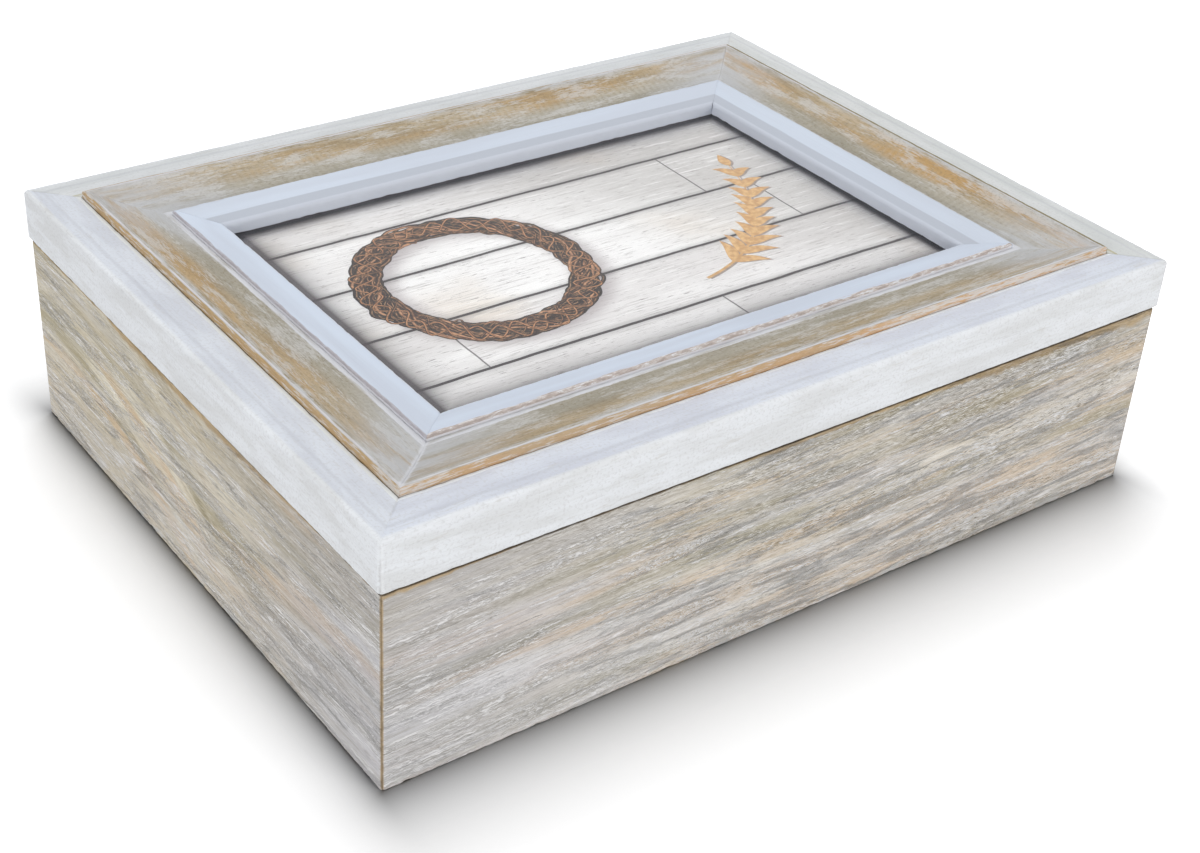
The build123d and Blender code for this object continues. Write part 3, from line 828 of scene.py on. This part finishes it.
crest_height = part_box("front_cove")[1].z
cove_foot = (lid_outer[1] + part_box("front_cove")[1].y, crest_height - COVE_FALL)
crest_inset = RAIL_TOP_WIDTH + COVE_CREST_WIDTH
cove_corners = [
    (RAIL_TOP_WIDTH + JOINT_GAP, ledge_height, 0.0, 0.001),
    (RAIL_TOP_WIDTH + JOINT_GAP, crest_height, CREST_RADIUS, 0.0004),
]
for step in range(HOLLOW_STEPS + 1):
    share = step / HOLLOW_STEPS
    sag = 4 * COVE_HOLLOW * share * (1 - share)
    inset = crest_inset + (cove_foot[0] - crest_inset) * share
    cove_corners.append((inset, crest_height - COVE_FALL * share - sag, 0.0, 0.002))
cove_corners.append((cove_foot[0], ledge_height, 0.0, 0.003))
mitred_bars(
    "brushed", "cove", "lid", cove_corners, lid_outer,
    new_finish("brushed_cove", brushed_cove_inputs), (7.3, 0.77),
    mellow=COVE_MELLOW, show=RIPPLE_SHOW, station_step=COVE_STATION_STEP,
    **{"Waviness": 0.00004, "Dents": 0.0001, "Mitre Groove": 0.00005, "Ripple Inset": crest_inset},
)

# ---------------- slips
# The window's inner moulding, spray-painted a cold white.  Its outer bead is left rough and pinkish
# where the paint has broken off, and its lip hangs over the glass.
SLIP_FOOT_WIDTH = 0.007
SLIP_RISE = 0.0012
BEAD_RADIUS = 0.0005
LIP_RADIUS = 0.001
LIP_THICKNESS = 0.0032
FILLED_RISE = 0.0005
SLIP_MELLOW = {"front": 1.0, "right": 0.0, "back": 0.0, "left": 0.3}


def white_slip_inputs(tree, filled_height):
    """Cold white paint, with painted shade on the right and back slips and on the lip's edge and inner face,
    broken off the outer bead.
    """
    place, mellow = kept_marks(tree, "grain", "mellow")
    _, height, depth = parts(place)
    inset = depth * 1000
    cloud = streak(place, 60, 6, 0.45, 3)
    lines = streak(place, 25, 0.6, 0.6, 8)
    mottle = streak(place, 2.4, 0.5, 0.7, 13)
    far = fall(mellow, 0, 0.3)
    raw = ramp(
        mottle, (0.25, (178, 162, 154)), (0.45, (199, 184, 176)), (0.62, (214, 205, 200)),
        (0.8, (240, 241, 244)),
    )
    ragged = streak(place, 12, 1.4, 0.65, 17) * (mellow * 1.5)
    outer = fall(inset - ragged, 25.15, 25.4, 0.9)
    filled = fall(mottle * 0.0002 + height, filled_height, filled_height + 0.00015, 0.85)
    colour = coats(
        tint(rise(cloud, 0.2, 0.9), (219, 229, 244), (211, 219, 233)),
        (fall(lines, 0.05, 0.4, 0.2), (203, 209, 220)),
        # Painted shade: the right and back slips greyer all over, and greyer still over the last millimetres
        # of the top and down the lip's inner face
        (far * 0.35, (200, 206, 216)),
        (rise(lines * 0.3 + inset, 30.5, 30.9, 0.8) * far, (186, 191, 201)),
        # Painted shade: the lip's rounded edge and inner face a little greyer on every side
        (rise(inset, 32.9, 33.3, 0.6), (214, 219, 230)),
        (outer, tint(filled, tint(mellow, (178, 176, 186), raw), (236, 236, 240))),
    )
    return surface(colour, fade(outer, 0, 1, 0.42, 0.8), 0.4, outer * mottle * 2 + lines, 0.00004)


frame_width = lid_outer[1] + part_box("front_slip")[1].y
rabbet_inset = rail_width + SLIP_FOOT_WIDTH
rabbet_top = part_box("glass_pane")[1].z
lip_top = rabbet_top + LIP_THICKNESS
bead_top = cove_foot[1] + SLIP_RISE
slope = (bead_top - lip_top) / (frame_width - LIP_RADIUS - cove_foot[0] - BEAD_RADIUS)
slip_corners = [
    (rail_width, painted_bottom, 0.0, 0.002),
    (rail_width, ledge_height, 0.0, 0.002),
    (cove_foot[0], ledge_height, 0.0, 0.002),
    (cove_foot[0], bead_top + slope * BEAD_RADIUS, BEAD_RADIUS, 0.0006),
    (frame_width, lip_top - slope * LIP_RADIUS, LIP_RADIUS, 0.0008),
    (frame_width, rabbet_top, 0.0, 0.0015),
    (rabbet_inset, rabbet_top, 0.0, 0.002),
    (rabbet_inset, painted_bottom, SLIGHT_ARRIS, 0.002),
]
mitred_bars(
    "white", "slip", "lid", slip_corners, lid_outer,
    new_finish("white_slip", white_slip_inputs, cove_foot[1] + FILLED_RISE), (2.2, 0.57), mellow=SLIP_MELLOW,
    **{"Waviness": 0.00002, "Dents": 0.00018, "Mitre Groove": 0.00005},
)

# ---------------- picture card
# Coated card that fills the window until a picture is put in.  It is printed with pale planks, a
# ring of bound twigs and a sprig of tan leaves, and it darkens towards the window's edge, partly in
# the print and partly as painted shade of the slips' lip.
CARD_PLAY = 0.00005
CARD_CORNER = 0.0005
CARD_CORNER_STEPS = 4
RING_CENTRE = (-0.031, 0.003)
RING_RADIUS = 0.0245
RING_BAND = 0.0036
RING_POINTS = 180
SPRIG_START = Vector((0.014, -0.024))
SPRIG_BEND = Vector((0.044, -0.018))
SPRIG_END = Vector((0.056, 0.020))
STEM_STEPS = 30
STEM_WIDTHS = (0.00045, 0.00015)
LEAF_PAIRS = 10
LEAF_LENGTH = 0.0098
LEAF_WIDTH = 0.0029
LEAF_TIP = 0.00004
LEAF_BOW = 0.0012
LEAF_STEPS = 14
LEAF_LIFT = 0.0000006
POINTS_PER_LIFT = 40
LEAF_START = 0.18
LEAF_ANGLE, LEAF_SWAY = 40, 7
LEAF_SHRINK, LEAF_VARIETY = 0.3, 0.08
LEAF_SWELL = 0.75
# In millimetres, as the print is measured
PLANK_WIDTH = 21.5
PLANK_START = -53.5
RING_SHADOW = (1.4, -1.6)
BORDER_DRIFT = 4.0


def printed(colour, unevenness):
    """Printed card, a little glossier in places."""
    return surface(colour, fade(unevenness, 0.3, 0.7, 0.45, 0.55), 0.3)


def printed_card_inputs(tree, half_x, half_y):
    """Planks with dark gaps and staggered ends, warm patches, the ring's soft shadow and a dark border that
    is partly print and partly painted shade of the slips' lip.
    """
    place = object_place(tree, (1000, 1000, 1000))
    x, y, _ = parts(place)
    wobble = noise(place, 0.08, 3) * 0.7 + -0.35
    across = (y + wobble - PLANK_START) / PLANK_WIDTH
    plank = calc("FLOOR", across)
    share = calc("FRACT", across)
    to_gap = calc("MINIMUM", share, 1 - share) * PLANK_WIDTH
    chance = put("ShaderNodeTexWhiteNoise", {"W": plank}, "Value", noise_dimensions="1D")
    end = chance * (2 * half_x) + -half_x
    shifted = vector(x * 0.001, y * 0.001, plank * 0.37 + calc("GREATER_THAN", x, end) * 0.13)
    tone = streak(shifted, 60, 7, 0.5, 2)
    lines = streak(shifted, 18, 0.5, 0.65, 9)
    pale_lines = streak(shifted, 12, 0.6, 0.65, 27)
    pores = streak(shifted, 4, 0.3, 0.7, 15)
    patch = noise(place, 0.024, 2)
    ring_x = x - (RING_CENTRE[0] * 1000 + RING_SHADOW[0])
    ring_y = y - (RING_CENTRE[1] * 1000 + RING_SHADOW[1])
    off_ring = abs(calc("SQRT", ring_x * ring_x + ring_y * ring_y) - RING_RADIUS * 1000)
    gap = fall(to_gap, 0.36, 0.58)
    gap = calc("MAXIMUM", gap, fall(abs(x + wobble - end), 0.1, 0.32, 0.85))
    gap = calc("MAXIMUM", gap, fall(to_gap, 0.4, 2.4, 0.26))
    # Dark border at the window's edge: partly print, partly painted shade of the slips' lip, reaching
    # further in on the left and front
    side_x = calc("MINIMUM", half_x - x, x + (half_x - BORDER_DRIFT))
    side_y = calc("MINIMUM", half_y - y, y + (half_y - BORDER_DRIFT))
    inside = calc("MAXIMUM", calc("MINIMUM", side_x, side_y), 0)
    colour = coats(
        ramp(
            chance * 0.4 + tone * 0.6,
            (0.15, (219, 216, 215)), (0.5, (232, 230, 229)), (0.85, (243, 242, 241)),
        ),
        (rise(x + y, 0, 60, 0.65), (176, 173, 170)),
        (rise(patch, 0.5, 0.72, 0.5), (216, 200, 180)),
        (fall(lines, 0.06, 0.42, 0.65), (168, 163, 160)),
        (rise(pale_lines, 0.6, 0.9, 0.6), (244, 243, 242)),
        (fall(pores, 0.08, 0.27, 0.9), (118, 110, 108)),
        (fall(off_ring, 1.5, 7.5, 0.6), (140, 128, 132)),
        (gap, (48, 41, 44)),
        (calc("EXPONENT", inside * -0.38) * 0.94, (54, 45, 52)),
    )
    return printed(colour, patch)


card_low, card_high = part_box("insert_card")
card_top = card_high.z - CARD_PLAY
card_rim = []
for sign_x, sign_y, start in ((1, 1, 0), (-1, 1, 90), (-1, -1, 180), (1, -1, 270)):
    for step in range(CARD_CORNER_STEPS + 1):
        angle = math.radians(start + 90 * step / CARD_CORNER_STEPS)
        card_rim.append((
            sign_x * (card_high.x - CARD_CORNER) + CARD_CORNER * math.cos(angle),
            sign_y * (card_high.y - CARD_CORNER) + CARD_CORNER * math.sin(angle),
        ))
half_window = [(half - frame_width) * 1000 for half in lid_outer]
picture_card = prisms("picture_card", [(card_rim, card_low.z, card_top)])
picture_card.data.materials.append(new_finish("printed_card", printed_card_inputs, *half_window))
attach(picture_card, "lid")
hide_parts("insert_card")


def twig_ring_tree():
    """Flat printed twigs that wind round a ring, each a ribbon with its own phase."""
    tree, given = open_tree("Twig ring", "GeometryNodeTree", {
        "Int": ["Twigs", "Seed"], "Vector": ["Centre"], "Material": ["Material"],
        "Float": ["Radius", "Band", "Width", "Windings", "Layer"],
    })
    circle = put("GeometryNodeCurvePrimitiveCircle", {"Resolution": RING_POINTS, "Radius": given["Radius"]})
    copies, copy_index = put("GeometryNodeDuplicateElements", {
        "Geometry": circle, "Amount": given["Twigs"],
    }, (0, 1), domain="SPLINE")

    def chance(low, high, offset):
        inputs = {2: low, 3: high, "ID": copy_index, "Seed": given["Seed"] + offset}
        return put("FunctionNodeRandomValue", inputs, 1)

    place = put("GeometryNodeInputPosition", {}, tree=tree)
    x, y, _ = parts(place)
    angle = calc("ARCTAN2", y, x)
    swing = angle * given["Windings"] + chance(0, 2 * math.pi, 1)
    kink = noise(place + chance(0, 9, 2), 160, 1)
    drift = (kink - 0.5) * 1.1 + (calc("SINE", swing) * 0.55 + chance(-0.45, 0.45, 3))
    radius = drift * given["Band"] + given["Radius"]
    level = calc("COSINE", swing) * 0.000006 + given["Layer"] + chance(-0.000004, 0.000004, 4)
    ring = vector(calc("COSINE", angle) * radius, calc("SINE", angle) * radius, level)
    marked = keep(copies, "twig", chance(0, 1, 5))
    moved = put("GeometryNodeSetPosition", {"Geometry": marked, "Position": ring + given["Centre"]})
    flat = put("GeometryNodeSetCurveNormal", {"Curve": moved}, mode="Z_UP")
    half = given["Width"] * 0.5
    section = put("GeometryNodeCurvePrimitiveLine", {0: vector(half * -1), 1: vector(half)})
    section = put("GeometryNodeResampleCurve", {"Curve": section, "Count": 3})
    section = keep(section, "across", put("GeometryNodeSplineParameter", {}, tree=tree))
    ribbons = put("GeometryNodeCurveToMesh", {"Curve": flat, "Profile Curve": section})
    return close_shape(ribbons, given["Material"])


def printed_twig_inputs(tree, *stops):
    """Ribbon of print that reads as a round twig: lit along its middle, dark at its sides."""
    across, twig = kept_marks(tree, "across", "twig")
    bark = noise(object_place(tree), 900, 3)
    off_middle = abs(across - 0.4)
    sheen = fall(off_middle, 0, 0.16) * rise(bark, 0.35, 0.6)
    colour = coats(
        ramp(twig * 0.6 + bark * 0.4, *stops),
        (sheen * 0.6, (222, 176, 134)),
        (rise(off_middle, 0.12, 0.46, 0.96), (10, 6, 5)),
    )
    return printed(colour, bark)


twig_tree = twig_ring_tree()
dark_twigs = new_finish(
    "printed_dark_twigs", printed_twig_inputs,
    (0.2, (16, 9, 6)), (0.42, (46, 26, 16)), (0.62, (94, 58, 36)), (0.82, (192, 140, 102)),
)
pale_twigs = new_finish(
    "printed_pale_twigs", printed_twig_inputs,
    (0.2, (62, 34, 20)), (0.5, (124, 76, 44)), (0.8, (208, 150, 102)),
)
for name, count, band, width, windings, layer, finish, seed in (
    ("printed_ring_core", 22, 1.0, 0.0014, 3.0, 0.000014, dark_twigs, 3),
    ("printed_ring_bark", 12, 1.15, 0.00105, 6.0, 0.000024, dark_twigs, 11),
    ("printed_ring_binding", 3, 1.25, 0.00062, 17.0, 0.000036, pale_twigs, 8),
):
    ring = solid_from(name, [], [])
    shape(ring, twig_tree, {
        "Twigs": count, "Radius": RING_RADIUS, "Band": RING_BAND * band, "Width": width, "Seed": seed,
        "Windings": windings, "Centre": (*RING_CENTRE, 0.0), "Layer": card_top + layer, "Material": finish,
    })
    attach(ring, "lid")


def printed_leaf_inputs(tree, light, dark):
    vein = kept_marks(tree, "vein")[0]
    speckle = noise(object_place(tree), 700, 4)
    colour = coats(
        tint(rise(speckle, 0.3, 0.7), light, dark),
        (fall(vein, 0, 0.14, 0.55), dark),
        (rise(vein, 0.8, 1, 0.5), dark),
    )
    return printed(colour, speckle)


def across_of(way):
    """A way turned left by a quarter."""
    return Vector((-way.y, way.x))


def sprig(name, offset, height, finish):
    """Leaves in pairs along a bent stem, flat, with the share of the half width kept as an attribute."""
    points, faces, veins = [], [], []

    def strip(centres, halves):
        first = len(points)
        for number, (centre, half) in enumerate(zip(centres, halves)):
            ahead = centres[min(number + 1, len(centres) - 1)] - centres[max(number - 1, 0)]
            side = across_of(ahead).normalized()
            for share in (-1, 0, 1):
                spot = centre + side * half * share + offset
                points.append((spot.x, spot.y, height + LEAF_LIFT * (first // POINTS_PER_LIFT)))
                veins.append(abs(share))
        for row in range(len(centres) - 1):
            for column in (0, 1):
                a = first + 3 * row + column
                faces.append((a, a + 3, a + 4, a + 1))

    def on_stem(share):
        bend = SPRIG_BEND * 2 * share * (1 - share)
        return SPRIG_START * (1 - share) ** 2 + bend + SPRIG_END * share ** 2

    stem_shares = [step / STEM_STEPS for step in range(STEM_STEPS + 1)]
    thinning = STEM_WIDTHS[0] - STEM_WIDTHS[1]
    halves = [STEM_WIDTHS[0] - thinning * share for share in stem_shares]
    strip([on_stem(share) for share in stem_shares], halves)
    leaf_shares = [step / LEAF_STEPS for step in range(LEAF_STEPS + 1)]
    for pair in range(LEAF_PAIRS + 1):
        share = LEAF_START + (1 - LEAF_START) * pair / LEAF_PAIRS
        root = on_stem(share)
        heading = (on_stem(min(share + 0.01, 1.0)) - on_stem(share - 0.01)).normalized()
        for hand in ((-1, 1) if pair < LEAF_PAIRS else (0,)):
            angle = math.radians(LEAF_ANGLE * hand + LEAF_SWAY * math.sin(7 * pair + hand))
            turned = heading * math.cos(angle) + across_of(heading) * math.sin(angle)
            bow = across_of(turned) * LEAF_BOW * -hand
            variety = LEAF_VARIETY * math.sin(5 * pair + 2 * hand)
            length = LEAF_LENGTH * (1 - LEAF_SHRINK * pair / LEAF_PAIRS + variety)
            strip(
                [root + turned * length * part + bow * math.sin(math.pi * part) for part in leaf_shares],
                [LEAF_WIDTH / 2 * math.sin(math.pi * part ** LEAF_SWELL) + LEAF_TIP for part in leaf_shares],
            )
    piece = solid_from(name, points, faces)
    mark(piece, vein=veins)
    piece.data.materials.append(finish)
    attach(piece, "lid")


sprig(
    "printed_sprig_shadow", Vector((0.00045, -0.0005)), card_top + 0.00001,
    new_finish("printed_shadow", printed_leaf_inputs, (160, 148, 140), (142, 130, 124)),
)
sprig(
    "printed_sprig", Vector((0, 0)), card_top + 0.00002,
    new_finish("printed_leaf", printed_leaf_inputs, (222, 182, 126), (192, 148, 96)),
)

# ---------------- glass
# Plain float glass in the rabbet, held up against the slips' lip.


def window_glass_inputs(tree):
    """Clear glass that lets light through to the card, with faint smears."""
    shader = Value(tree.nodes["Principled BSDF"].outputs[0])
    clear = put("ShaderNodeBsdfTransparent", {}, tree=tree)
    is_shadow = put("ShaderNodeLightPath", {}, "Is Shadow Ray", tree)
    fill(tree.nodes["Material Output"], {
        "Surface": put("ShaderNodeMixShader", {0: is_shadow, 1: shader, 2: clear}),
    })
    return {
        "Base Color": (1.0, 1.0, 1.0, 1.0), "Transmission Weight": 1.0, "IOR": 1.45,
        "Roughness": rise(noise(object_place(tree), 22, 3), 0.4, 0.8, 0.03),
    }


dress(new_finish("window_glass", window_glass_inputs), "glass_pane")

# ---------------- filler card, backing board and nails
# Brown card and a sheet of hardboard behind the picture, smooth side out, and the corrugated steel
# nails that hold the lid's mitres from below.


def pressed_board_inputs(tree, light, dark, size, roughness):
    """Felted fibres in every direction, as in card and hardboard."""
    place = object_place(tree)
    clump = noise(place, size, 4)
    fibre = noise(place + clump, size * 9, 3)
    colour = coats(
        tint(fade(clump, 0.3, 0.7, 0.2, 0.8), dark, light),
        (fall(fibre, 0.34, 0.48, 0.5), dark),
        (rise(fibre, 0.54, 0.68, 0.4), light),
    )
    roughness = fade(fibre, 0.3, 0.7, roughness + 0.08, roughness - 0.08)
    return surface(colour, roughness, relief=fibre, depth=0.00003)


def worked_metal_inputs(tree, light, dark, roughness, scratch_scale):
    """Metal with fine scratches, a little tarnish in patches and brighter rubbed places."""
    tarnish = noise(object_place(tree), 420, 4)
    scratches = noise(object_place(tree, scratch_scale), 1, 3, 0.7)
    colour = tint(rise(tarnish, 0.35, 0.65), dark, light)
    colour = tint(rise(scratches, 0.55, 0.7, 0.35), colour, light)
    roughness = scratches * 0.2 + fade(tarnish, 0.35, 0.65, roughness + 0.05, roughness - 0.12)
    return {"Metallic": 1.0, **surface(colour, roughness, relief=scratches, depth=0.000012)}


brown_card = ((176, 146, 108), (146, 116, 82), 160.0, 0.85)
hardboard = ((134, 101, 70), (108, 78, 52), 350.0, 0.55)
nail_steel = ((0.56, 0.56, 0.57, 1.0), (0.34, 0.33, 0.33, 1.0), 0.42, (2600, 2600, 300))
dress(new_finish("brown_card", pressed_board_inputs, *brown_card), "filler_card")
dress(new_finish("hardboard", pressed_board_inputs, *hardboard), "backing_board")
dress(new_finish("nail_steel", worked_metal_inputs, *nail_steel), "mitre_nails")

# ---------------- turn buttons
# Zinc-plated sheet steel buttons that hold the backing board in, each turning on a round-headed
# screw of the same plating.
zinc_plate = ((0.66, 0.68, 0.7, 1.0), (0.48, 0.5, 0.54, 1.0), 0.38, (900, 2400, 900))
dress(
    new_finish("zinc_plate", worked_metal_inputs, *zinc_plate),
    *[f"turn_button_{side}" for side in TURNS], "turn_button_screws",
)

# ---------------- hinges
# Two small stamped brass butt hinges.  Their leaves are let into the back board and the back rail,
# and their pins and countersunk screws are brass as well.
hinge_brass = ((0.76, 0.58, 0.28, 1.0), (0.5, 0.36, 0.16, 1.0), 0.36, (300, 2400, 2400))
dress(
    new_finish("hinge_brass", worked_metal_inputs, *hinge_brass),
    *[f"hinge_{part}_{hinge}" for part in ("leaf_box", "leaf_lid", "pin") for hinge in ("left", "right")],
    "box_hinge_screws", "lid_hinge_screws",
)

# ---------------- floor, light and surround
# A plain pale floor with a painted contact shadow round the box, one large soft light from above
# and behind, weaker ones from the left and the front, and an even white surround.
SHADOW_SQUEEZE = (1.75, 0.85)
WHITE = (1.0, 1.0, 1.0, 1.0)
floor = solid_from("floor", [(-3, -3, 0), (3, -3, 0), (3, 3, 0), (-3, 3, 0)], [(0, 1, 2, 3)])


def floor_inputs(tree, half_x, half_y):
    """Matt white with a glow that only the eye sees: dimmed close to the box as a painted contact shadow,
    and brighter away from it so that it meets the white surround.
    """
    seen = put("ShaderNodeLightPath", {}, "Is Camera Ray", tree)
    x, y, _ = parts(object_place(tree))
    out_x = calc("MAXIMUM", abs(x) - half_x, 0) * SHADOW_SQUEEZE[0]
    out_y = calc("MAXIMUM", abs(y) - half_y, 0) * SHADOW_SQUEEZE[1]
    out = calc("SQRT", out_x * out_x + out_y * out_y)
    # Painted shadow: the glow is dimmed close to the box's footprint and brightens away from it
    added = calc("EXPONENT", out * -100) * -0.84 + fade(out, 0.01, 0.2, 0.62, 0.95)
    return {
        "Base Color": (0.61, 0.612, 0.618, 1.0), "Roughness": 0.9, "Specular IOR Level": 0.0,
        "Emission Color": WHITE, "Emission Strength": seen * added,
    }


floor.data.materials.append(new_finish("pale_floor", floor_inputs, *box_outer))


def soft_light(name, place, size, power, colour):
    """Square area light that faces the box."""
    lamp = in_scene(name, bpy.data.lights.new(name, "AREA"))
    lamp.data.size = size
    lamp.data.energy = power
    lamp.data.color = colour
    lamp.location = place
    lamp.rotation_euler = Vector(place).to_track_quat("Z", "Y").to_euler()
    return lamp


top_light = soft_light("top_light", (0.45, 0.75, 1.35), 0.9, 11.5, (0.97, 0.985, 1.0))
top_light.visible_glossy = False
soft_light("left_light", (-1.5, -0.6, 0.4), 0.8, 10.4, (1.0, 1.0, 1.0))
soft_light("front_light", (0.55, -1.5, 0.36), 0.8, 9.3, (1.0, 0.99, 0.97))


def surround(tree):
    """White all round: full strength to the eye, weaker as light and weaker still in reflections."""
    diffuse, glossy, to_eye, through, in_reflection = put("ShaderNodeLightPath", {}, (
        "Diffuse Depth", "Glossy Depth", "Is Camera Ray", "Is Transmission Ray", "Is Glossy Ray",
    ), tree)
    seen = calc("LESS_THAN", diffuse + glossy, 0.5) * calc("MAXIMUM", to_eye, through)
    strength = in_reflection * -0.15 + fade(seen, 0, 1, 0.5, 1)
    fill(tree.nodes["Background"], {"Color": WHITE, "Strength": strength})


scene.world = bpy.data.worlds.new("surround")
scene.world.use_nodes = True
surround(scene.world.node_tree)
